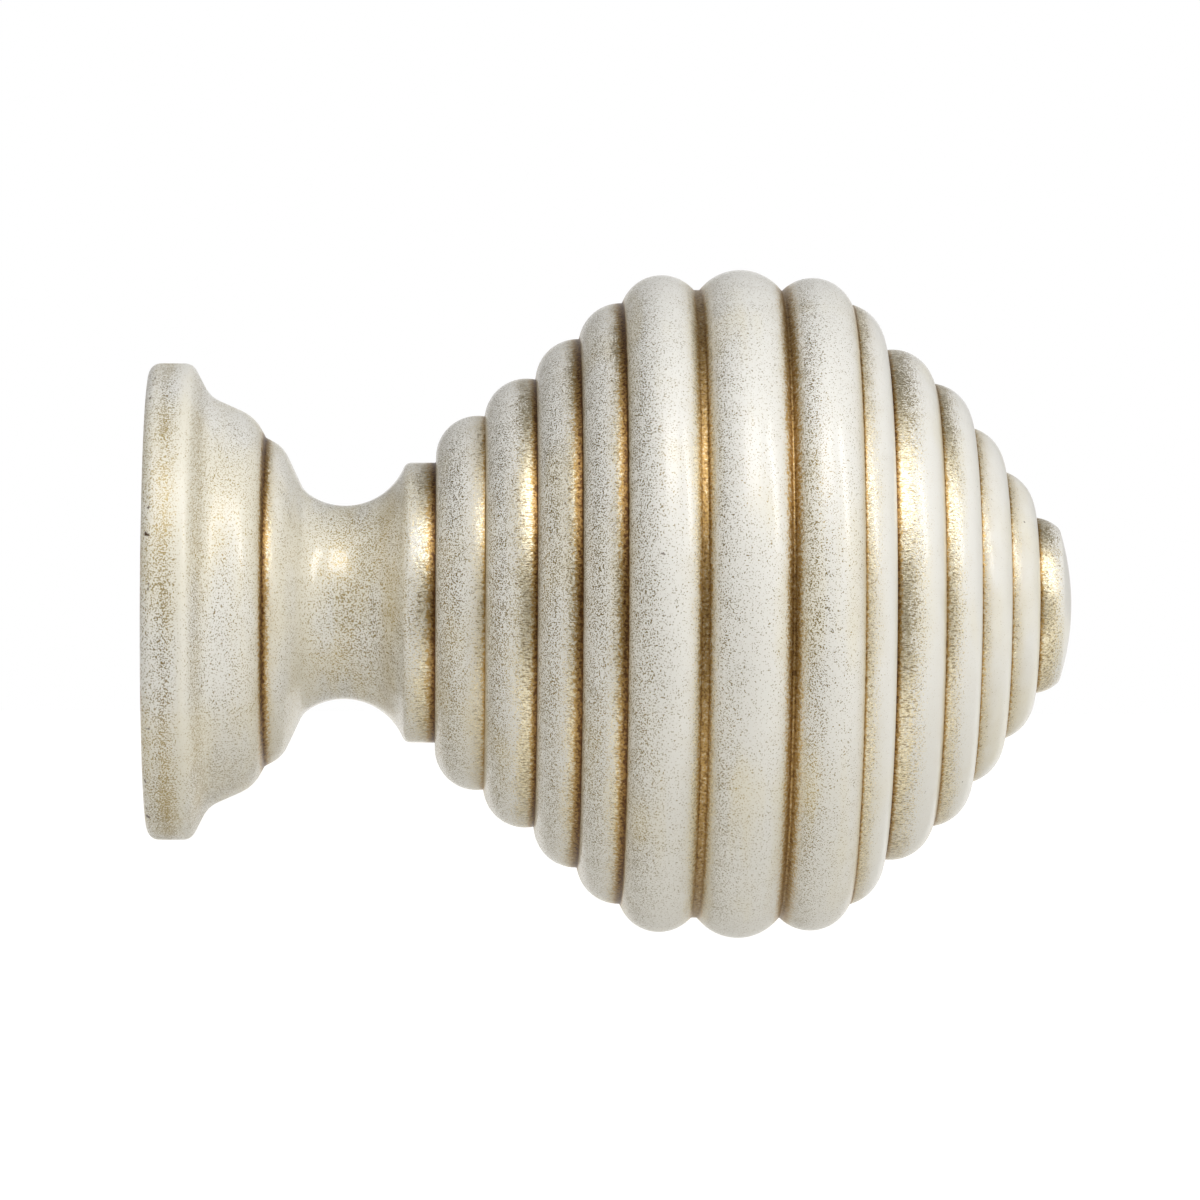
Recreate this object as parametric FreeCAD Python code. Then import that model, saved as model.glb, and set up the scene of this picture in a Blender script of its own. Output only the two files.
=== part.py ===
"""Curtain pole finial: one turned wooden piece, a ribbed ball on a waisted neck and a moulded foot.

The lathe axis is +X. The origin is the middle of the foot's flat back, which seats on the end of the pole,
and the ball points away from the pole along +X. All sizes are in millimetres.
"""

import FreeCAD
import Part

import math
import os
from itertools import accumulate

# Foot: a flat-rimmed flange, then an ogee that ends in a fine quirk. Runs are measured along the axis.
FLANGE_RADIUS = 30.0
FLANGE_WIDTH = 5.5
FLANGE_BACK_ROUND = 1.5
FLANGE_FRONT_ROUND = 1.6
COVE_RUN = 2.15
COVE_RADIUS = 25.85
COVE_ROUND = 3.6
OVOLO_RUN = 5.7
OVOLO_RADIUS = 23.3
OVOLO_ROUND = 5.3
QUIRK_RUN = 1.35
QUIRK_RADIUS = 20.7

# Neck: a half bead that runs down into a hollow, and a plain collar under the ball.
HALF_BEAD_RUN = 2.2
HALF_BEAD_RADIUS = 19.6
HALF_BEAD_ROUND = 4.3
HOLLOW_TOP_RUN = 2.6
HOLLOW_TOP_RADIUS = 14.1
HOLLOW_TOP_ROUND = 3.0
HOLLOW_FLOOR_RUN = 5.15
NECK_RADIUS = 12.2
HOLLOW_END_RUN = 7.65
COLLAR_RADIUS = 17.65
COLLAR_WIDTH = 3.8

# Ball: beads side by side, cut with one round tool, but for the widest bead, which has a tool of its own.
# Pitches run from crest to crest.
BEAD_ROUND = 5.25
RISING_CRESTS = (23.6, 28.3, 33.3, 37.85)
RISING_PITCHES = (6.1, 6.4, 5.4)
BELLY_CRESTS = (41.4, 42.1, 41.15)
BELLY_PITCHES = (5.15, 9.9, 9.1)
FALLING_CRESTS = (37.95, 32.2, 27.95, 22.55, 17.1)
FALLING_PITCHES = (3.75, 6.4, 4.7, 4.1, 3.9)
WIDEST_BEAD_ROUND = 6.4
BELLY_GROOVE_RADIUS = 39.55

# Tip: a button with the same round edge and a slightly domed end.
TIP_PITCH = 4.9
TIP_CREST = 11.15
TIP_REACH = 5.1
TIP_DOME = 31.5

# Arrises of the collar and the tip are sanded soft.
ARRIS_ROUND = 1.0

# Blind pilot hole for the wood thread of a dowel screw, drilled from the back.
PILOT_RADIUS = 3.0
PILOT_DEPTH = 35.0
DRILL_POINT_ANGLE = 118.0


def at(station, radius):
    """A point of the half section, at a station along the axis and a distance from it."""
    return FreeCAD.Vector(station, 0, radius)


def line(start, end):
    return Part.makeLine(start, end)


def arc(start, middle, end):
    return Part.Arc(start, middle, end).toShape()


def eased_path(corners):
    """Edges through corners given as (point, round), with an arc in place of each rounded corner."""
    edges = []
    start = corners[0][0]
    for (before, _), (corner, rounding), (after, _) in zip(corners, corners[1:], corners[2:]):
        if rounding == 0:
            edges.append(line(start, corner))
            start = corner
            continue
        back = (before - corner).normalize()
        ahead = (after - corner).normalize()
        half_angle = back.getAngle(ahead) / 2
        reach = rounding / math.tan(half_angle)
        depth = rounding / math.sin(half_angle) - rounding
        inward = (back + ahead).normalize()
        enter = corner + back * reach
        leave = corner + ahead * reach
        edges.append(line(start, enter))
        edges.append(arc(enter, corner + inward * depth, leave))
        start = leave
    edges.append(line(start, corners[-1][0]))
    return edges


def section(edges):
    return Part.Face(Part.Wire(edges))


# Stations along the axis, each measured on from the one before.
COVE_AT = FLANGE_WIDTH + COVE_RUN
OVOLO_AT = COVE_AT + OVOLO_RUN
QUIRK_AT = OVOLO_AT + QUIRK_RUN
HALF_BEAD_AT = QUIRK_AT + HALF_BEAD_RUN
HOLLOW_TOP_AT = HALF_BEAD_AT + HOLLOW_TOP_RUN
HOLLOW_FLOOR_AT = HOLLOW_TOP_AT + HOLLOW_FLOOR_RUN
COLLAR_AT = HOLLOW_FLOOR_AT + HOLLOW_END_RUN
FIRST_BEAD_AT = COLLAR_AT + COLLAR_WIDTH + BEAD_ROUND

BEAD_CRESTS = RISING_CRESTS + BELLY_CRESTS + FALLING_CRESTS
BEAD_PITCHES = RISING_PITCHES + BELLY_PITCHES + FALLING_PITCHES
BEADS_AT = tuple(accumulate(BEAD_PITCHES, initial=FIRST_BEAD_AT))
WIDEST = BEAD_CRESTS.index(max(BEAD_CRESTS))
TIP_AT = BEADS_AT[-1] + TIP_PITCH
LENGTH = TIP_AT + TIP_REACH


def foot_and_neck():
    """Half section from the flat back to under the first bead, which covers the collar's end."""
    hollow_top = at(HOLLOW_TOP_AT, HOLLOW_TOP_RADIUS)
    collar_arris = at(COLLAR_AT, COLLAR_RADIUS)
    mouldings = [
        (at(0, 0), 0),
        (at(0, FLANGE_RADIUS), FLANGE_BACK_ROUND),
        (at(FLANGE_WIDTH, FLANGE_RADIUS), FLANGE_FRONT_ROUND),
        (at(COVE_AT, COVE_RADIUS), COVE_ROUND),
        (at(OVOLO_AT, OVOLO_RADIUS), OVOLO_ROUND),
        (at(QUIRK_AT, QUIRK_RADIUS), 0),
        (at(HALF_BEAD_AT, HALF_BEAD_RADIUS), HALF_BEAD_ROUND),
        (hollow_top, 0),
    ]
    hollow = arc(hollow_top, at(HOLLOW_FLOOR_AT, NECK_RADIUS), collar_arris)
    collar_end = at(FIRST_BEAD_AT, COLLAR_RADIUS)
    collar = [line(collar_arris, collar_end), line(collar_end, at(FIRST_BEAD_AT, 0))]
    axis = line(at(FIRST_BEAD_AT, 0), at(0, 0))
    return section(eased_path(mouldings) + [hollow] + collar + [axis])


def bead(station, crest, rounding):
    """Half section of one bead: straight cheeks up from the axis and a half-round top."""
    left, right = station - rounding, station + rounding
    shoulder = crest - rounding
    top = arc(at(left, shoulder), at(station, crest), at(right, shoulder))
    cheeks = [line(at(left, 0), at(left, shoulder)), line(at(right, shoulder), at(right, 0))]
    return section([cheeks[0], top, cheeks[1], line(at(right, 0), at(left, 0))])


def belly_core():
    """Half section under the three belly beads, whose top is the floor of the two grooves between them."""
    corners = [
        at(BEADS_AT[WIDEST - 1], 0),
        at(BEADS_AT[WIDEST - 1], BELLY_GROOVE_RADIUS),
        at(BEADS_AT[WIDEST + 1], BELLY_GROOVE_RADIUS),
        at(BEADS_AT[WIDEST + 1], 0),
    ]
    return section([line(a, b) for a, b in zip(corners, corners[1:] + corners[:1])])


def tip():
    """Half section of the end button: a bead that a large dome cuts off."""
    dome_centre = at(LENGTH - TIP_DOME, 0)
    dome = Part.Circle(dome_centre, FreeCAD.Vector(0, 1, 0), TIP_DOME).toShape()
    return bead(TIP_AT, TIP_CREST, BEAD_ROUND).common(section([dome]))


def turned_body():
    """The joined half sections, turned about the axis."""
    rounds = [WIDEST_BEAD_ROUND if i == WIDEST else BEAD_ROUND for i in range(len(BEADS_AT))]
    beads = [bead(*sizes) for sizes in zip(BEADS_AT, BEAD_CRESTS, rounds)]
    joined = foot_and_neck().multiFuse(beads + [belly_core(), tip()])
    outline = Part.makeShell(joined.Faces).removeSplitter()
    return outline.Faces[0].revolve(at(0, 0), FreeCAD.Vector(1, 0, 0), 360)


def ring_edges(solid, station, radius):
    """The solid's round edges whose station and radius lie in the two (low, high) ranges."""
    rings = [e for e in solid.Edges if not e.Degenerated and isinstance(e.Curve, Part.Circle)]
    on_station = [e for e in rings if station[0] <= e.Curve.Center.x <= station[1]]
    return [e for e in on_station if radius[0] <= e.Curve.Radius <= radius[1]]


def sanded(solid):
    """The solid with the top of its hollow, its collar arris and the rim of its domed end eased."""
    near = 1e-4
    hollow_top = ring_edges(solid, (HOLLOW_TOP_AT - near, HOLLOW_TOP_AT + near), (0, FLANGE_RADIUS))
    eased = solid.makeFillet(HOLLOW_TOP_ROUND, hollow_top)
    collar_arris = ring_edges(eased, (COLLAR_AT - near, COLLAR_AT + near), (0, FLANGE_RADIUS))
    tip_rim = ring_edges(eased, (TIP_AT + TIP_REACH / 2, LENGTH), (near, TIP_CREST))
    return eased.makeFillet(ARRIS_ROUND, collar_arris + tip_rim)


def pilot_hole():
    """The drilled hole, with the cone that the drill's point leaves."""
    point_depth = PILOT_RADIUS / math.tan(math.radians(DRILL_POINT_ANGLE / 2))
    drilled = [at(0, 0), at(0, PILOT_RADIUS), at(PILOT_DEPTH, PILOT_RADIUS), at(PILOT_DEPTH + point_depth, 0)]
    face = section([line(a, b) for a, b in zip(drilled, drilled[1:] + drilled[:1])])
    return face.revolve(at(0, 0), FreeCAD.Vector(1, 0, 0), 360)


finial = sanded(turned_body()).cut(pilot_hole())
print("length", round(LENGTH, 2), "mm, widest", 2 * max(BEAD_CRESTS), "mm, valid", finial.isValid())
print("volume", round(finial.Volume / 1000, 1), "cm3, solids", len(finial.Solids), "faces", len(finial.Faces))
os.makedirs("parts", exist_ok=True)
finial.Solids[0].exportStep("parts/turned_finial.step")
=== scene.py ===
# %% [markdown]
# # A gilded curtain pole finial
#
# The object is one piece of turned wood: a flat-backed foot, a hollow neck and a ball of stacked beads.
# Its CAD solid gives the exact form. This lesson reads that form back, turns a finer skin from it with
# Geometry Nodes, and gives the skin its finish: gold leaf, cream paint rubbed thin over it, brown wax in
# the grooves and satin varnish.

# %% Load the frame
import math

import bmesh
import bpy
import numpy as np
from mathutils import Matrix, Vector


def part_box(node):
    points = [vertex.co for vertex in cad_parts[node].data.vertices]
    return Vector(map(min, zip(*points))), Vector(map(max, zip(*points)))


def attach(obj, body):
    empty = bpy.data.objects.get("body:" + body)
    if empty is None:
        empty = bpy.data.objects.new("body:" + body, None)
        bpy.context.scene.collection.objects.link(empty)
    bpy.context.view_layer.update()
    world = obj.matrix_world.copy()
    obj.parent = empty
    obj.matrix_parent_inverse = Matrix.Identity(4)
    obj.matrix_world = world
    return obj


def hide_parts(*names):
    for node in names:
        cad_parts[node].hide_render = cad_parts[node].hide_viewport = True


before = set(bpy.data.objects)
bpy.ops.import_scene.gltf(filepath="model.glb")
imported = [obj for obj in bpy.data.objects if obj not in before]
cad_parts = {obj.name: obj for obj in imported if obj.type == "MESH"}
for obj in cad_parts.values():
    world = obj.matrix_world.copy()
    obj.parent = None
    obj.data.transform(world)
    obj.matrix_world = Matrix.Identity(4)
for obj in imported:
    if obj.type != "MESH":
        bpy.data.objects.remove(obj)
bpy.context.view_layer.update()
scene = bpy.context.scene
scene.view_settings.view_transform = "Standard"
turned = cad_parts["turned_finial"]
low, high = (Vector(corner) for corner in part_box("turned_finial"))
length = high.x - low.x
print("turned solid", [round(1000 * side, 2) for side in high - low], "mm")

# %% [markdown]
# ## The camera
#
# The photograph looks square at the axis from about a metre away. The rings bow out to the left on the
# foot and to the right at the tip, and they run straight beside the neck, so the camera stands opposite
# the neck and turns a little towards the middle of the piece. A long lens gives the same gentle
# perspective.

# %% Camera opposite the neck
PHOTO_PIXELS = 1200
PIXEL = 0.00012605  # metres on the piece for one pixel of the photograph
BASE_COLUMN = 149
NECK_COLUMN = 430
AIM_RISE = 3.4  # pixels
DISTANCE = 0.945
ROLL = math.radians(0.25)

camera_data = bpy.data.cameras.new("photo_camera")
camera_data.sensor_width = 36.0
camera = bpy.data.objects.new("photo_camera", camera_data)
scene.collection.objects.link(camera)
scene.camera = camera

stand = Vector(((NECK_COLUMN - BASE_COLUMN) * PIXEL, -DISTANCE, 0.0))
aim = Vector(((PHOTO_PIXELS / 2 - BASE_COLUMN) * PIXEL, 0.0, AIM_RISE * PIXEL))
look = aim - stand
facing = look.to_track_quat("-Z", "Y").to_matrix().to_4x4()
camera.matrix_world = Matrix.Translation(stand) @ facing @ Matrix.Rotation(ROLL, 4, "Z")
camera_data.lens = camera_data.sensor_width * look.length / (PHOTO_PIXELS * PIXEL)
print("lens", round(camera_data.lens, 1), "mm, distance", round(look.length, 3), "m")

# %% [markdown]
# ## One small class for node maths
#
# Node trees are easier to read as sums. `Field` wraps a socket, and the operators add the Math nodes, so
# `1 - mask` is a node too. `Bench` adds every other node: settings first, then values or links for its
# sockets.

# %% A socket that takes part in sums
class Field:
    """One output socket that takes part in sums."""

    def __init__(self, bench, socket):
        self.bench = bench
        self.socket = socket

    def sum(self, operation, *others):
        terms = dict(enumerate((self, *others)))
        return self.bench.add("ShaderNodeMath", {"operation": operation}, terms)

    def out(self, name):
        """Another output of the same node."""
        return Field(self.bench, self.socket.node.outputs[name])

    def __add__(self, other):
        return self.sum("ADD", other)

    __radd__ = __add__

    def __mul__(self, other):
        return self.sum("MULTIPLY", other)

    __rmul__ = __mul__

    def __sub__(self, other):
        return self.sum("SUBTRACT", other)

    def __rsub__(self, other):
        return self.bench.add("ShaderNodeMath", {"operation": "SUBTRACT"}, {0: other, 1: self})

    def __truediv__(self, other):
        return self.sum("DIVIDE", other)

    def __pow__(self, other):
        return self.sum("POWER", other)

    def least(self, other):
        return self.sum("MINIMUM", other)

    def most(self, other):
        return self.sum("MAXIMUM", other)

    def rise(self, start, end):
        """A soft step from 0 at start to 1 at end; start may be the larger."""
        sockets = {"Value": self, "From Min": start, "From Max": end}
        return self.bench.add("ShaderNodeMapRange", {"interpolation_type": "SMOOTHSTEP"}, sockets)


# %% A bench that adds nodes to one tree
class Bench:
    """Adds nodes to one tree."""

    def __init__(self, tree):
        self.tree = tree

    def add(self, kind, settings=None, sockets=None, output=0):
        node = self.tree.nodes.new(kind)
        for name, value in (settings or {}).items():
            setattr(node, name, value)
        for name, value in (sockets or {}).items():
            socket = self.find(node.inputs, name)
            if isinstance(value, Field):
                self.tree.links.new(value.socket, socket)
            else:
                socket.default_value = value
        return Field(self, self.find(node.outputs, output)) if len(node.outputs) else None

    def find(self, sockets, name):
        """A socket by number, by identifier, or else by the name of one in use."""
        if isinstance(name, int):
            return sockets[name]
        same_identifier = [s for s in sockets if s.identifier == name]
        same_name = [s for s in sockets if s.name == name and s.enabled]
        return (same_identifier or same_name)[0]

    def blend(self, factor, first, second):
        """The first colour where factor is 0, the second where it is 1."""
        sockets = {"Factor_Float": factor, "A_Color": first, "B_Color": second}
        return self.add("ShaderNodeMix", {"data_type": "RGBA"}, sockets, "Result_Color")

    def rays(self):
        """Two masks: rays from the camera, and rays that a shiny or clear surface sent on."""
        seen = self.add("ShaderNodeLightPath", None, None, "Is Camera Ray")
        return seen, seen.out("Is Glossy Ray").most(seen.out("Is Transmission Ray"))


# %% [markdown]
# ## The room
#
# Gold shows the room that it stands in, so the room is part of its look. The photograph's gold is dark
# where it faces the camera, and its specks are dark along the upper edges. So the room is pale, with
# darker parts on the camera's side, overhead and behind the piece, and a dark card on the foot's side
# that only reflections show. Light Path makes the world white to the camera, and to reflections that run
# straight back.

# %% World: a pale room with darker parts
ROOM_LEVEL = 0.76
CAMERA_SIDE_DIM = 0.68
CEILING_DIM = 0.65
FOOT_SIDE_DIM = 0.55
BACK_DIM = 0.42
world = bpy.data.worlds.new("studio")
scene.world = world
world.use_nodes = True
world.node_tree.nodes.clear()
sky = Bench(world.node_tree)
direction = sky.add("ShaderNodeTexCoord", None, None, "Generated")
heading = sky.add("ShaderNodeSeparateXYZ", None, {"Vector": direction})
seen, mirrored = sky.rays()
level_gaze = heading.out("Z").sum("ABSOLUTE").rise(0.52, 0.32)
camera_side = heading.out("Y").rise(-0.7, -0.95) * level_gaze
ceiling = heading.out("Z").rise(0.35, 0.9)
foot_side = heading.rise(-0.25, -0.8) * mirrored
back_side = heading.out("Y").rise(0.0, 0.5)
room = ROOM_LEVEL * (1 - camera_side * CAMERA_SIDE_DIM - ceiling * CEILING_DIM)
room = room * (1 - foot_side * FOOT_SIDE_DIM) * (1 - back_side * BACK_DIM)
print("room level", ROOM_LEVEL)

# %% World: white behind the piece
LAMP_WHITE = (1.0, 0.985, 0.96, 1)
PURE_WHITE = (1, 1, 1, 1)
shown = seen.most(mirrored * heading.out("Y").rise(0.95, 0.995))
tint = sky.blend(shown, LAMP_WHITE, PURE_WHITE)
light = sky.add("ShaderNodeBackground", None, {"Color": tint, "Strength": room + shown * (1 - room)})
sky.add("ShaderNodeOutputWorld", None, {"Surface": light})
print("world", world.name, "with", len(world.node_tree.nodes), "nodes")

# %% [markdown]
# ## The floor
#
# The piece floats in the photograph, so the floor lies well below it. A warm white sheet sends soft
# light up from below and keeps the shadow. A little emission, for camera rays, lifts it to the white of
# the photograph. In reflections the sheet has a pale strip in front of the piece and a darker end beyond
# that: they give the lower half of each gold band its light and its dark.

# %% Floor below the ball
FLOOR_SIZE = 12
FLOOR_DROP = 0.06
bpy.ops.mesh.primitive_plane_add(size=FLOOR_SIZE, location=(aim.x, 0, low.z - FLOOR_DROP))
floor = bpy.context.object
floor.name = "floor"
paper = bpy.data.materials.new("white_floor")
paper.use_nodes = True
paper.node_tree.nodes.clear()
floor.data.materials.append(paper)
print("floor", round(1000 * FLOOR_DROP), "mm below the ball")

# %% Paper of the floor
NEAR_LIFT = 0.2
FAR_LIFT = 0.58
STRIP_LIFT = 0.35
SHEET_WHITE = (0.90, 0.885, 0.84, 1)
END_GREY = (0.36, 0.35, 0.33, 1)
sheet = Bench(paper.node_tree)
seen, mirrored = sheet.rays()
spot = sheet.add("ShaderNodeTexCoord", None, None, "Object")
far = sheet.add("ShaderNodeVectorMath", {"operation": "LENGTH"}, {0: spot}, "Value").rise(0.15, 0.42)
sideways = sheet.add("ShaderNodeSeparateXYZ", None, {"Vector": spot})
depth = sideways.out("Y")
strip_in_front = depth.rise(-0.17, -0.12) * depth.rise(-0.04, -0.07)
behind = depth.rise(0.05, 0.3)
lift = seen * NEAR_LIFT + seen.most(mirrored * behind) * far * FAR_LIFT
lift = lift + mirrored * strip_in_front * STRIP_LIFT
dark_end = depth.rise(-0.15, -0.22) * sideways.sum("ABSOLUTE").rise(0.35, 0.15) * mirrored
paper_colour = sheet.blend(dark_end, SHEET_WHITE, END_GREY)
matt = sheet.add("ShaderNodeBsdfDiffuse", None, {"Color": paper_colour})
glow = sheet.add("ShaderNodeEmission", None, {"Color": PURE_WHITE, "Strength": lift})
both = sheet.add("ShaderNodeAddShader", None, {0: matt, 1: glow})
sheet.add("ShaderNodeOutputMaterial", None, {"Surface": both})
print("paper with", len(paper.node_tree.nodes), "nodes")

# %% [markdown]
# ## The lamps
#
# The highlights tell where the lamps stood. One large soft box hangs above the camera, with a brighter
# middle that makes the white spot in the neck, and a tall one stands on the tip's side. Area lamps of
# those sizes give highlights of the right length, which a point lamp or a sun couldn't.

# %% Soft boxes
SOFT_BOXES = {  # place and size in metres, power in watts
    "upper_box": ((0.10, -0.44, 0.70), (0.9, 1.0), 1.7),
    "upper_core": ((0.14, -0.50, 0.62), (0.42, 0.40), 1.8),
    "side_box": ((0.82, -0.42, 0.58), (0.22, 0.7), 2.6),
}
middle = Vector((length / 2, 0, 0))
for name, (place, size, power) in SOFT_BOXES.items():
    data = bpy.data.lights.new(name, "AREA")
    data.shape = "RECTANGLE"
    data.size, data.size_y = size
    data.energy = power
    lamp = bpy.data.objects.new(name, data)
    scene.collection.objects.link(lamp)
    lamp.location = place
    lamp.rotation_euler = (middle - Vector(place)).to_track_quat("-Z", "Y").to_euler()

# %% [markdown]
# ## The outline, read back from the solid
#
# A turner works from an outline held against the spinning wood. Cutting the CAD mesh with a plane
# through its axis gives that outline as a chain of points, from the bottom of the pilot hole, over the
# back and the beads, to the tip. Typing the points in would be another way, but then the skin could
# drift from the solid.

# %% Cut the mesh along its axis
SAME_PLACE = 1e-7
cut = bmesh.new()
cut.from_mesh(turned.data)
bmesh.ops.remove_doubles(cut, verts=cut.verts, dist=SAME_PLACE)
whole = cut.verts[:] + cut.edges[:] + cut.faces[:]
knife = {"plane_co": (0, 0, 0), "plane_no": (0, 1, 0), "dist": SAME_PLACE}
sliced = bmesh.ops.bisect_plane(cut, geom=whole, **knife)["geom_cut"]
cut_edges = [e for e in sliced if isinstance(e, bmesh.types.BMEdge)]
upper_edges = [e for e in cut_edges if all(v.co.z > -1e-6 for v in e.verts)]
print("edges of the cut above the axis", len(upper_edges))

# %% Walk along the cut from the pilot hole to the tip
neighbours = {}
for edge in upper_edges:
    a, b = edge.verts
    neighbours.setdefault(a, []).append(b)
    neighbours.setdefault(b, []).append(a)
ends = sorted((v for v, near in neighbours.items() if len(near) == 1), key=lambda v: v.co.x)
chain = [ends[0]]
before = None
while chain[-1] is not ends[-1]:
    onward = [v for v in neighbours[chain[-1]] if v is not before]
    before = chain[-1]
    chain.append(onward[0])
outline = np.array([(v.co.x, max(v.co.z, 0.0)) for v in chain]) * 1000
cut.free()
print("outline points", len(outline), "from", outline[0].round(2), "to", outline[-1].round(2), "mm")

# %% [markdown]
# ## Smooth runs
#
# The chain turns by a few degrees at each point of a round stretch and by far more at a groove. So the
# chain is split at its sharp corners, and each run gets a smooth curve through its own points. A
# Subdivision Surface would round the corners too and pull the beads inwards; curves through the points
# keep both.

# %% A smooth curve through the points of one run
FINE_STEP = 0.02
SHARP_TURN = math.radians(20)


def unit(vectors):
    return vectors / np.linalg.norm(vectors, axis=-1, keepdims=True)


def other_tangent(tangent, chord):
    """The tangent at the other end of a circular arc, from one tangent and the chord."""
    return 2 * np.dot(tangent, chord) * chord - tangent


def smooth_run(points):
    chords = np.diff(points, axis=0)
    sizes = np.linalg.norm(chords, axis=1)
    tangents = unit(np.vstack([chords[:1], points[2:] - points[:-2], chords[-1:]]))
    if len(points) > 2:
        tangents[0] = other_tangent(tangents[1], chords[0] / sizes[0])
        tangents[-1] = other_tangent(tangents[-2], chords[-1] / sizes[-1])
    pieces = []
    for i, size in enumerate(sizes):
        t = np.linspace(0, 1, max(2, int(size / FINE_STEP) + 1), endpoint=False)[:, None]
        away = t * (1 - t) ** 2 * size
        home = t**2 * (t - 1) * size
        straight = points[i] + t**2 * (3 - 2 * t) * chords[i]
        pieces.append(straight + away * tangents[i] + home * tangents[i + 1])
    return np.vstack(pieces)


# %% Split at the sharp corners
def wrapped(angles):
    """Angles brought between minus and plus half a turn."""
    return (angles + math.pi) % (2 * math.pi) - math.pi


turns = wrapped(np.diff(np.arctan2(*np.diff(outline, axis=0).T[::-1])))
sharp = np.flatnonzero(np.abs(turns) > SHARP_TURN) + 1
splits = [0, *sharp, len(outline) - 1]
runs = [smooth_run(outline[a : b + 1]) for a, b in zip(splits, splits[1:])]
fine = np.vstack(runs + [outline[-1:]])
travel = np.concatenate([[0], np.cumsum(np.linalg.norm(np.diff(fine, axis=0), axis=1))])
corner_travel = travel[np.cumsum([len(run) for run in runs])[:-1]]
print("sharp corners", len(sharp), "fine points", len(fine), "travel", round(travel[-1], 1), "mm")

# %% [markdown]
# ## Corners softened by paint
#
# Paint and wax round every corner a little. A running average along the outline does the same: over a
# tenth of a millimetre it changes only the corners. It needs points at even steps, so the runs are first
# spaced again.

# %% Even spacing and softened corners
PAINT_SOFTENING = 0.10
even_steps = np.arange(0, travel[-1], FINE_STEP)
even = np.column_stack([np.interp(even_steps, travel, fine[:, axis]) for axis in (0, 1)])
even = np.vstack([even, outline[-1]])
along = np.append(even_steps, travel[-1])
reach = int(4 * PAINT_SOFTENING / FINE_STEP)
weights = np.exp(-0.5 * (np.arange(-reach, reach + 1) * FINE_STEP / PAINT_SOFTENING) ** 2)
weights /= weights.sum()
padded = np.vstack([2 * even[0] - even[reach:0:-1], even, 2 * even[-1] - even[-2 : -reach - 2 : -1]])
soft = np.column_stack([np.convolve(padded[:, axis], weights, "valid") for axis in (0, 1)])
soft[:, 1] = np.maximum(soft[:, 1], 0)
soft[:, 0] = np.clip(soft[:, 0], 1000 * low.x, 1000 * high.x)
print("moved by softening, at most", round(float(np.abs(soft - even).max()), 3), "mm")

# %% [markdown]
# ## Where gold shows
#
# The finish follows the form. Gold went on first, then cream paint, and both were rubbed and waxed by
# hand while the piece turned. So the share of gold that shows is nearly the same all round a ring: high
# on the tread beside each step, where the rubbing pad couldn't lay paint, and low on the crests. Each
# groove has its own reach of gold before and after it, because a hand never does two grooves alike.

# %% Gold and wax beside each groove, from the foot to the tip
BEFORE = [  # share of gold, reach of gold and width of wax on the side towards the foot, in mm
    (0.25, 1.2, 1.00), (0.92, 3.2, 1.00), (0.50, 2.4, 0.50), (1.00, 3.2, 0.80),
    (0.92, 2.5, 1.15), (0.92, 2.3, 1.10), (0.85, 1.7, 0.70), (1.00, 1.0, 0.70),
    (0.75, 1.6, 1.35), (1.00, 1.0, 0.70), (0.20, 0.5, 0.20), (0.20, 0.4, 0.25),
    (0.15, 0.4, 0.20), (0.15, 0.4, 0.20), (0.15, 0.4, 0.20), (0.15, 0.4, 0.20),
]
AFTER = [  # the same on the side towards the tip
    (0.60, 1.7, 0.75), (0.25, 0.6, 0.30), (0.40, 1.6, 0.30), (0.30, 0.9, 0.30),
    (0.30, 0.8, 0.35), (0.30, 0.9, 0.35), (1.00, 1.0, 0.70), (0.80, 1.5, 0.65),
    (1.00, 1.0, 0.70), (0.80, 1.7, 1.35), (0.62, 2.2, 0.35), (1.00, 3.4, 0.60),
    (0.80, 2.5, 0.42), (0.45, 1.5, 0.36), (0.45, 1.5, 0.36), (1.00, 3.0, 0.45),
]
WAX_DEPTH = [0.92, 1.0, 0.62, 0.95, 0.96, 0.96] + [0.70] * 4 + [0.75, 0.92, 0.75, 0.75, 0.75, 0.85]
GOLD_FALL = 1.2
mouth = corner_travel[1]
grooves = corner_travel[(turns[sharp - 1] > 0) & (corner_travel > mouth)]
from_groove = along[:, None] - grooves[None]
sides = np.where(from_groove[None] < 0, np.array(BEFORE).T[:, None], np.array(AFTER).T[:, None])
gold_share, gold_reach, wax_width = sides
beside = (gold_share * np.exp(-GOLD_FALL * (from_groove / gold_reach) ** 2)).max(axis=1)
wax = (np.array(WAX_DEPTH) * np.exp(-((from_groove / wax_width) ** 2))).max(axis=1)
print("grooves", len(grooves), "at", soft[np.searchsorted(along, grooves), 0].round(1), "mm")

# %% [markdown]
# ## Where the paint is stained or rubbed thin
#
# Wax stains the paint tan for a millimetre or so beside each groove, and on the collar. Specks of gold
# show where the paint was rubbed thin: on flanks that face the foot, on the flange and in the neck. A
# painted map could hold this, but a few heights along the axis are easier to change.

# %% Stain and specks along the axis
STAIN_REACH = 1.35
COLLAR_STAIN = (30.2, 1.4, 0.45)  # middle, width and amount
RUBBED_AT = [0, 5, 9, 15, 20, 25, 33, 37, 58, 66, 78, 86, 92, 117]
RUBBED = [0.34, 0.08, 0.27, 0.20, 0.22, 0.42, 0.36, 0.19, 0.18, 0.15, 0.14, 0.14, 0.05, 0.05]
RUBBED_BANDS = [(2.9, 1.1, 0.33), (6.7, 0.8, 0.27), (81.8, 1.7, 0.14)]
FLANK_SPECKS = 0.22


def band_at(middle_at, width, amount):
    """A smooth band round the outside, with all lengths in mm along the axis."""
    return amount * np.exp(-(((soft[:, 0] - middle_at) / width) ** 2)) * (along > mouth)


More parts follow.
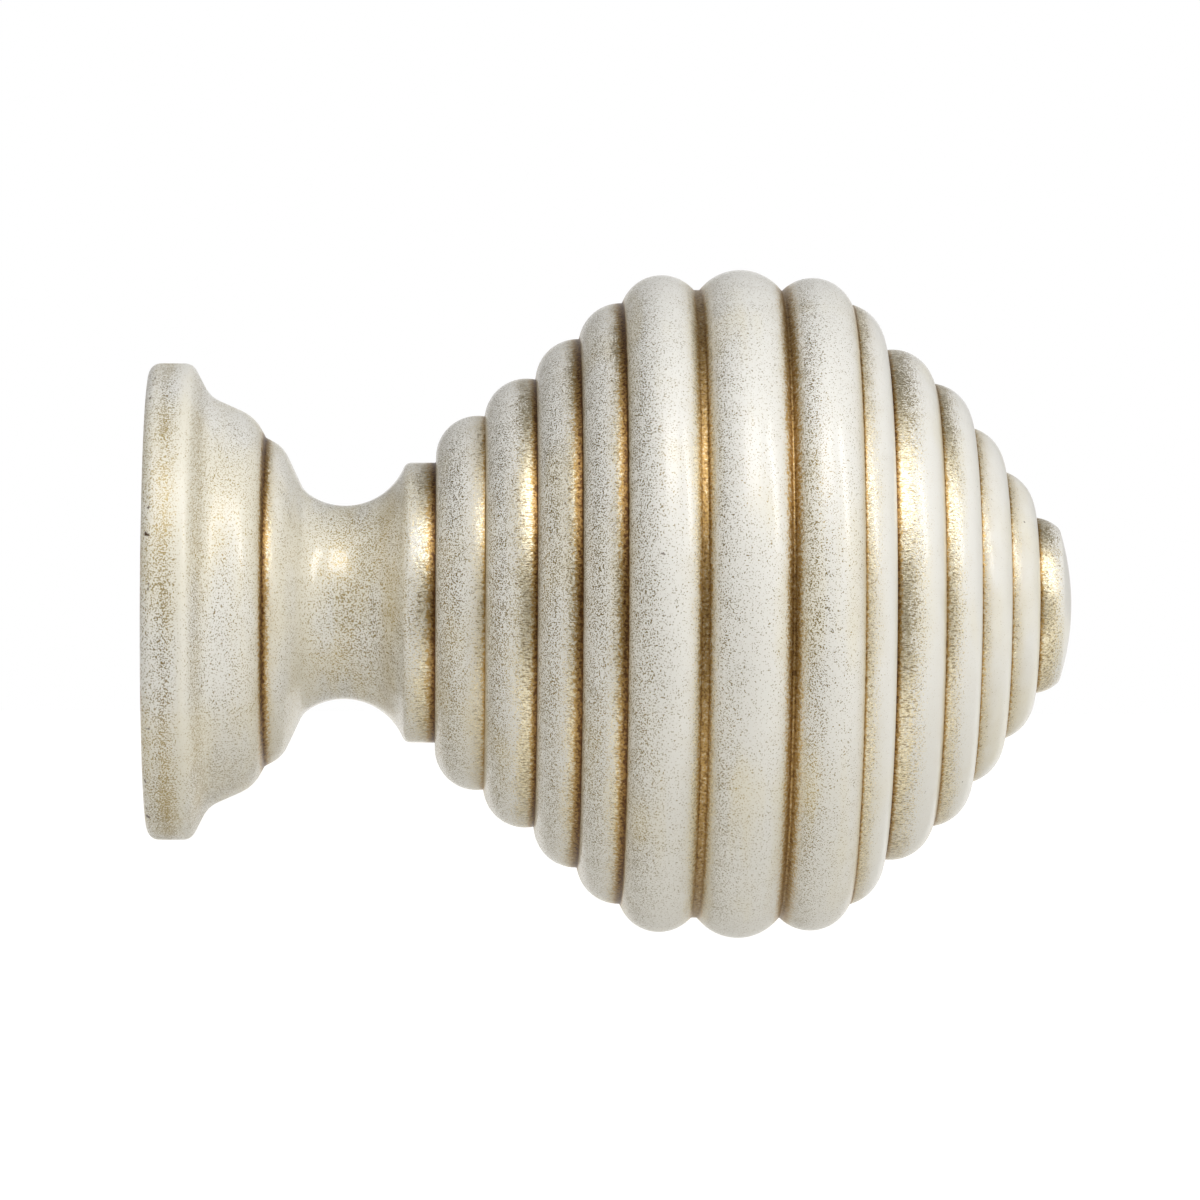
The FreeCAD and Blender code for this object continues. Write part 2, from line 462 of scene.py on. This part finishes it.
stain = np.exp(-np.abs(from_groove) / STAIN_REACH).max(axis=1)
stain += band_at(*COLLAR_STAIN)
lean = -unit(np.gradient(soft, axis=0))[:, 1]
specks = np.interp(soft[:, 0], RUBBED_AT, RUBBED)
specks += FLANK_SPECKS * np.clip((0.05 - lean) / 0.7, 0, 1) ** 1.3 * (along > grooves[1])
for band_values in RUBBED_BANDS:
    specks += band_at(*band_values)
print("specks from", round(float(specks.min()), 2), "to", round(float(specks.max()), 2))

# %% [markdown]
# ## The rows of the skin
#
# Each row of points becomes one ring. Rows stand close together where the outline bends and wide apart
# on the back and in the pilot hole, so that 400 of them are enough. Even rows would need several times
# as many.

# %% Choose the rows
ROWS = 400
TURN_PER_ROW = math.radians(8)
OUTSIDE_SPACING = 0.7
HIDDEN_SPACING = 3.0
FOOT_TRAVEL = 40
RIM_MARGIN = 0.02
rim_radius = soft[along < mouth + FOOT_TRAVEL][:, 1].max()
rim_travel = along[np.argmax(soft[:, 1] > rim_radius - RIM_MARGIN)]
back = np.clip(rim_travel - along, 0, None)
change = np.abs(wrapped(np.diff(np.unwrap(np.arctan2(*np.gradient(soft, axis=0).T[::-1])))))
spacing = np.where(along[1:] > rim_travel, OUTSIDE_SPACING, HIDDEN_SPACING)
effort = np.concatenate([[0], np.cumsum(change / TURN_PER_ROW + np.diff(along) / spacing)])
row_at = np.interp(np.linspace(0, effort[-1], ROWS), effort, along)
station = np.interp(row_at, along, soft[:, 0]) / 1000
radius = np.interp(row_at, along, soft[:, 1]) / 1000
masks = {"leaf": beside, "speck": specks, "wax": wax, "stain": stain, "back": back}
row_masks = {name: np.interp(row_at, along, mask) for name, mask in masks.items()}
steps = np.diff(row_at)
print("rows", ROWS, "steps from", round(float(steps.min()), 3), "to", round(float(steps.max()), 2), "mm")

# %% [markdown]
# ## Turn the skin with Geometry Nodes
#
# A lathe shape follows one rule: every row of the outline becomes a ring. A flat grid with one row for
# each outline point is rolled round the axis: its X is the row number and its Y the place around. Screw
# or Spin would do the same, but here the rule stays editable, and a little unevenness of hand sanding
# goes in with it.

# %% Outline as a line of points with its masks
strip_mesh = bpy.data.meshes.new("outline_rows")
row_points = [(x, 0, z) for x, z in zip(station, radius)]
strip_mesh.from_pydata(row_points, [(i, i + 1) for i in range(ROWS - 1)], [])
for name, values in row_masks.items():
    column = strip_mesh.attributes.new(name, "FLOAT", "POINT")
    column.data.foreach_set("value", values.astype(np.float32))
strip = bpy.data.objects.new("outline_rows", strip_mesh)
scene.collection.objects.link(strip)
finish = bpy.data.materials.new("gilded_cream_paint")
finish.use_nodes = True
print("outline object with", len(strip_mesh.vertices), "points and masks", list(row_masks))

# %% Inputs of the turning tree
LATHE_INPUTS = {  # sanding in metres
    "Facets": ("NodeSocketInt", 240),
    "Sanding": ("NodeSocketFloat", 0.00004),
    "Seed": ("NodeSocketInt", 7),
}
lathe_tree = bpy.data.node_groups.new("turn_on_lathe", "GeometryNodeTree")
lathe_tree.interface.new_socket("Outline", in_out="INPUT", socket_type="NodeSocketGeometry")
for name, (kind, value) in LATHE_INPUTS.items():
    lathe_tree.interface.new_socket(name, in_out="INPUT", socket_type=kind).default_value = value
lathe_tree.interface.new_socket("Finish", in_out="INPUT", socket_type="NodeSocketMaterial")
lathe_tree.interface.new_socket("Skin", in_out="OUTPUT", socket_type="NodeSocketGeometry")
lathe = Bench(lathe_tree)
given = lathe.add("NodeGroupInput")
print("tree inputs", [item.name for item in lathe_tree.interface.items_tree if item.in_out == "INPUT"])

# %% [markdown]
# ### Roll the grid
#
# Each point of the grid looks up its row in the outline: the distance along the axis, the radius and the
# five masks. The masks are stored while the grid is still flat, because its X then gives the row. Then
# Set Position rolls it up, and Merge by Distance closes the seam and the poles.

# %% A flat grid that knows its rows
facets = given.out("Facets")
rows = lathe.add("GeometryNodeAttributeDomainSize", None, {"Geometry": given}, "Point Count")
grid_sizes = {"Size X": rows - 1, "Size Y": facets, "Vertices X": rows, "Vertices Y": facets + 1}
veneer = lathe.add("GeometryNodeMeshGrid", None, grid_sizes, "Mesh")
position = lathe.add("GeometryNodeInputPosition")
spot = lathe.add("ShaderNodeSeparateXYZ", None, {"Vector": position})
row = spot + (rows - 1) / 2
turn_angle = (spot.out("Y") / facets + 0.5) * math.tau


def from_row(value, kind):
    sockets = {"Geometry": given, "Value": value, "Index": row}
    return lathe.add("GeometryNodeSampleIndex", {"data_type": kind}, sockets, "Value")


for name in row_masks:
    mask = lathe.add("GeometryNodeInputNamedAttribute", {"data_type": "FLOAT"}, {"Name": name})
    stored = {"Geometry": veneer, "Name": name, "Value": from_row(mask, "FLOAT")}
    settings = {"data_type": "FLOAT", "domain": "POINT"}
    veneer = lathe.add("GeometryNodeStoreNamedAttribute", settings, stored)
print("masks carried to the skin", len(row_masks))

# %% Roll it round the axis
SANDING_SCALE = 70.0
FULL_SANDING_RADIUS = 0.005
row_point = lathe.add("ShaderNodeSeparateXYZ", None, {"Vector": from_row(position, "FLOAT_VECTOR")})
row_radius = row_point.out("Z")


def ring_place(distance):
    across = distance * turn_angle.sum("SINE")
    up = distance * turn_angle.sum("COSINE")
    return lathe.add("ShaderNodeCombineXYZ", None, {"X": row_point, "Y": across, "Z": up})


pressure = {"Vector": ring_place(row_radius), "W": given.out("Seed"), "Scale": SANDING_SCALE, "Detail": 2.0}
hand = lathe.add("ShaderNodeTexNoise", {"noise_dimensions": "4D"}, pressure)
towards_axis = (row_radius * (1 / FULL_SANDING_RADIUS)).least(1.0)
sanded = row_radius - given.out("Sanding") * hand * towards_axis
skin = lathe.add("GeometryNodeSetPosition", None, {"Geometry": veneer, "Position": ring_place(sanded)})
closed = lathe.add("GeometryNodeMergeByDistance", None, {"Geometry": skin, "Distance": 1e-6})
smooth = lathe.add("GeometryNodeSetShadeSmooth", None, {"Geometry": closed})
solid = lathe.add("GeometryNodeRealizeInstances", None, {"Geometry": smooth})
painted = lathe.add("GeometryNodeSetMaterial", None, {"Geometry": solid, "Material": given.out("Finish")})
lathe.add("NodeGroupOutput", None, {"Skin": painted})
print("turning tree", len(lathe_tree.nodes), "nodes")

# %% [markdown]
# ### Run the tree
#
# A modifier runs the tree on the outline. Its result is kept as a plain mesh, because the finished piece
# has to stand without the tree. An open edge or a negative volume would tell of a seam that isn't closed
# or of faces that point inwards, so both are measured.

# %% Run the tree and keep its result as a plain mesh
turning = strip.modifiers.new("turn_on_lathe", "NODES")
turning.node_group = lathe_tree
inputs = [item for item in lathe_tree.interface.items_tree if item.in_out == "INPUT"]
socket_ids = {item.name: item.identifier for item in inputs}
for name, (kind, value) in LATHE_INPUTS.items():
    turning[socket_ids[name]] = value
turning[socket_ids["Finish"]] = finish
evaluated = strip.evaluated_get(bpy.context.evaluated_depsgraph_get())
skin_mesh = bpy.data.meshes.new_from_object(evaluated)
skin_mesh.name = "turned_skin"
strip.modifiers.remove(turning)
bpy.data.objects.remove(strip)
finial = bpy.data.objects.new("turned_skin", skin_mesh)
scene.collection.objects.link(finial)
print("skin points", len(skin_mesh.vertices))

# %% Measure the skin
probe = bmesh.new()
probe.from_mesh(skin_mesh)
open_edges = sum(not e.is_manifold for e in probe.edges)
volume = probe.calc_volume(signed=True) * 1e6
triangles = sum(len(f.verts) - 2 for f in probe.faces)
probe.free()
print("skin", triangles, "triangles, open edges", open_edges, "volume", round(volume, 1), "cm3")

# %% [markdown]
# ## The finish
#
# From the wood outwards: gold leaf, cream paint, brown wax, satin varnish. The paint was rubbed, so fine
# specks of gold show through it everywhere and whole bands of gold beside the grooves. The wax stayed
# only in the grooves. One shader holds all layers, because each place shows just one of them under the
# varnish: masks choose which.
#
# Noises break up the masks. They read the place on the piece. Two are stretched: brush drag runs round
# the rings, and fine hairs run along the axis.

# %% Places on the skin
DRAG_RADIUS = 0.004  # the noise of brush drag is read on a cylinder of this radius
finish.node_tree.nodes.clear()
coat = Bench(finish.node_tree)
place = coat.add("ShaderNodeTexCoord", None, None, "Object")
axis = coat.add("ShaderNodeSeparateXYZ", None, {"Vector": place})
side_y = axis.out("Y")
side_z = axis.out("Z")
off_axis = (side_y**2 + side_z**2) ** 0.5
on_cylinder = {"X": axis, "Y": side_y / off_axis * DRAG_RADIUS, "Z": side_z / off_axis * DRAG_RADIUS}
around = coat.add("ShaderNodeCombineXYZ", None, on_cylinder)
lengthways = coat.add("ShaderNodeCombineXYZ", None, {"X": axis * 0.2, "Y": side_y, "Z": side_z})
leaf_row, speck_row, wax_row, stain_row, back_mm = (
    coat.add("ShaderNodeAttribute", {"attribute_name": name}, None, "Fac") for name in row_masks
)
print("masks read by the finish", list(row_masks))


# %% Noises on the skin
def noise(scale, detail=2.0, rough=0.5, where=place):
    """A noise of about scale waves in a metre."""
    sockets = {"Vector": where, "Scale": scale, "Detail": detail, "Roughness": rough}
    return coat.add("ShaderNodeTexNoise", None, sockets)


grain = noise(5700, 1.0).rise(0.27, 0.73)
fleck = noise(4300, 2.0, 0.6).rise(0.3, 0.7)
hair = noise(7000, 1.0, 0.5, lengthways).rise(0.3, 0.7)
granule = noise(2600, 2.0, 0.6).rise(0.32, 0.68)
clump = noise(400, 3.0)
drift = noise(60, 2.0)
drag = noise(1600, 3.0, 0.6, around)
band = noise(330, 2.0, 0.5, around)
print("nodes so far", len(finish.node_tree.nodes))

# %% [markdown]
# ### Masks
#
# The row masks say how much of a layer shows at each ring. The noises then choose the spots: where the
# grain is higher than an edge that sinks as the share grows, the layer shows. A plain product of mask
# and noise would give grey half-tones, while this gives crisp specks that grow together into solid gold.

# %% Masks: gold leaf and specks
LEAF_SOFTNESS = 0.2
SPECK_SOFTNESS = 0.055
on_foot = axis.rise(0.038, 0.030)
spread = clump * 0.8 + band * 0.5 + drift * 0.7
streaks = (hair - 0.5) * 0.5 + (drag - 0.5) * 0.9
leaf_edge = 1.2 - leaf_row * (spread + streaks) * 1.4
leaf = grain.rise(leaf_edge - LEAF_SOFTNESS, leaf_edge + LEAF_SOFTNESS)
# More specks on the lower side of the foot only: painted shade, darker towards the bottom.
foot_underside_shade = on_foot * side_z.rise(-0.016, -0.028) * 0.16
speck_edge = 1.07 - (speck_row + foot_underside_shade) * spread
pits = grain.rise(speck_edge - SPECK_SOFTNESS, speck_edge + SPECK_SOFTNESS)
print("nodes with gold and specks", len(finish.node_tree.nodes))

# %% Masks: wax, stain, bare wood and nicks
waxed = (wax_row + (granule - 0.5) * 0.4 + (fleck - 0.5) * 0.3).rise(0.25, 0.65)
soot = (wax_row + (granule - 0.5) * 0.5).rise(0.55, 1.05)
# Brown in the leaf's hairs and granules, more beside the grooves: partly grime, partly painted dark
# reflection of the rough leaf.
grime_and_dark_reflection = (hair * 0.7 + granule * 0.3 + wax_row * 0.2).rise(0.55, 0.85)
stained = (stain_row + (clump - 0.5) * 0.4).rise(0.0, 1.0)
wood = (back_mm + (clump - 0.5) * 2.5 + (grain - 0.5) * 0.8).rise(1.6, 2.6)
back_edge = back_mm.rise(0.0, 0.3) * back_mm.rise(1.8, 1.0)
nicks = noise(520, 2.0).rise(0.66, 0.70) * back_edge + noise(420, 3.0, 0.7).rise(0.73, 0.76) * 0.8
print("nodes with the masks", len(finish.node_tree.nodes))

# %% [markdown]
# ### Colours
#
# The paint drifts between a cool white and a warm cream, and the stain turns it tan. The specks are gold,
# coloured darker than the leaf: painted dark reflection. Brown in the leaf's fine hairs is partly grime and
# partly painted dark reflection of the rough leaf. The wax is amber where it is thin and nearly black at
# the bottom of a groove.

# %% Colours of paint, gold and wax
COOL_WHITE = (0.815, 0.804, 0.76, 1)
WARM_CREAM = (0.815, 0.782, 0.672, 1)
STAIN_TAN = (0.54, 0.445, 0.26, 1)
# The specks are gold, coloured darker than the leaf: painted dark reflection.
SPECK_BROWN_DARK_REFLECTION = (0.26, 0.195, 0.075, 1)
SPECK_GOLD_DARK_REFLECTION = (0.45, 0.345, 0.145, 1)
NICK_BROWN = (0.10, 0.06, 0.03, 1)
LEAF_DULL = (0.64, 0.53, 0.31, 1)
LEAF_BRIGHT = (0.97, 0.90, 0.70, 1)
# Brown of grime, also used as painted dark reflection on the leaf.
GRIME_AND_DARK_REFLECTION_BROWN = (0.19, 0.125, 0.055, 1)
WAX_BROWN = (0.21, 0.095, 0.019, 1)
WAX_AMBER = (0.62, 0.42, 0.15, 1)
WAX_BLACK = (0.10, 0.042, 0.010, 1)
warmth = (drift + (band - 0.5) * 0.8 + on_foot * 0.2 + leaf_row * 0.15).rise(0.47, 0.85)
cream = coat.blend(warmth, COOL_WHITE, WARM_CREAM)
cream = coat.blend(stained * 0.85, cream, STAIN_TAN)
cream = coat.blend(pits, cream, coat.blend(warmth, SPECK_BROWN_DARK_REFLECTION, SPECK_GOLD_DARK_REFLECTION))
cream = coat.blend(nicks, cream, NICK_BROWN)
gold = coat.blend(fleck, LEAF_DULL, LEAF_BRIGHT)
gold = coat.blend(grime_and_dark_reflection * 0.7, gold, GRIME_AND_DARK_REFLECTION_BROWN)
glaze = coat.blend(granule * 0.6 + fleck * 0.4, WAX_BROWN, WAX_AMBER)
glaze = coat.blend(soot, glaze, WAX_BLACK)
layers = coat.blend(leaf, cream, gold)
layers = coat.blend(waxed, layers, glaze)
print("nodes with the colours", len(finish.node_tree.nodes))

# %% [markdown]
# ### The bare back
#
# The back sits against the pole's end, so a maker leaves it bare, and it shows end grain. The blank was
# cut from beside the heart of the tree, so the year rings are arcs about a centre outside the foot. A
# distance from that centre, bent by noise and cut into years, gives them.

# %% End grain of the back
PITH_Y = 0.047
PITH_Z = -0.028
YEAR_WIDTH = 0.0026
EARLY_WOOD = (0.58, 0.42, 0.26, 1)
LATE_WOOD = (0.33, 0.20, 0.10, 1)
from_pith = ((side_y - PITH_Y) ** 2 + (side_z - PITH_Z) ** 2) ** 0.5
years = (from_pith + (noise(45, 3.0) - 0.5) * 0.006) / YEAR_WIDTH
season = (years - years.sum("FLOOR")) * (0.6 + noise(25, 1.0) * 0.8)
pores = noise(2400, 2.0).rise(0.5, 0.72)
end_grain = coat.blend(season**3 * 0.6 + pores * 0.35, EARLY_WOOD, LATE_WOOD)
layers = coat.blend(wood, layers, end_grain)
print("year rings", round(1000 * YEAR_WIDTH, 1), "mm apart")

# %% [markdown]
# ### The shader
#
# One Principled shader takes it all. Leaf, specks and waxed leaf are metal, and paint and wood aren't. A
# small bump gives the brush drag, sinks the rubbed places below the paint and makes the leaf sparkle.
# The varnish is the shader's coat: thin on the flange, where hands rub it, and thickest in the neck.

# %% The shader of the finish
COAT_ROUGHNESS = 0.12
BUMP_STRENGTH = 0.4
BUMP_DEPTH = 0.00003
speck_metal = pits * (0.9 - on_foot * 0.35)
wax_metal = waxed * (0.85 - soot * 0.2)
metal = (leaf * (1 - grime_and_dark_reflection * 0.3)).most(speck_metal).most(wax_metal) * (1 - wood)
rough = 0.36 - metal * 0.02 + (drag - 0.5) * 0.12 + wood * 0.3
height = (drag - leaf - pits) * 0.5 + (fleck - 0.5) * metal * 1.4
relief = {"Strength": BUMP_STRENGTH, "Distance": BUMP_DEPTH, "Height": height}
bump = coat.add("ShaderNodeBump", None, relief)
varnish = 0.16 + axis.rise(0.006, 0.014) * 0.22 + on_foot * axis.rise(0.016, 0.022) * 0.5
satin = {
    "Base Color": layers,
    "Metallic": metal,
    "Roughness": rough,
    "Normal": bump,
    "Coat Weight": (1 - wood) * (1 - waxed * 0.8) * varnish,
    "Coat Roughness": COAT_ROUGHNESS,
}
shader = coat.add("ShaderNodeBsdfPrincipled", None, satin, "BSDF")
coat.add("ShaderNodeOutputMaterial", None, {"Surface": shader})
print("finish", len(finish.node_tree.nodes), "nodes")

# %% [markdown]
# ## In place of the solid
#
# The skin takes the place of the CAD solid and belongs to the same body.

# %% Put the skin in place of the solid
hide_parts("turned_finial")
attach(finial, "root")
print(finial.name, "stands for turned_finial")
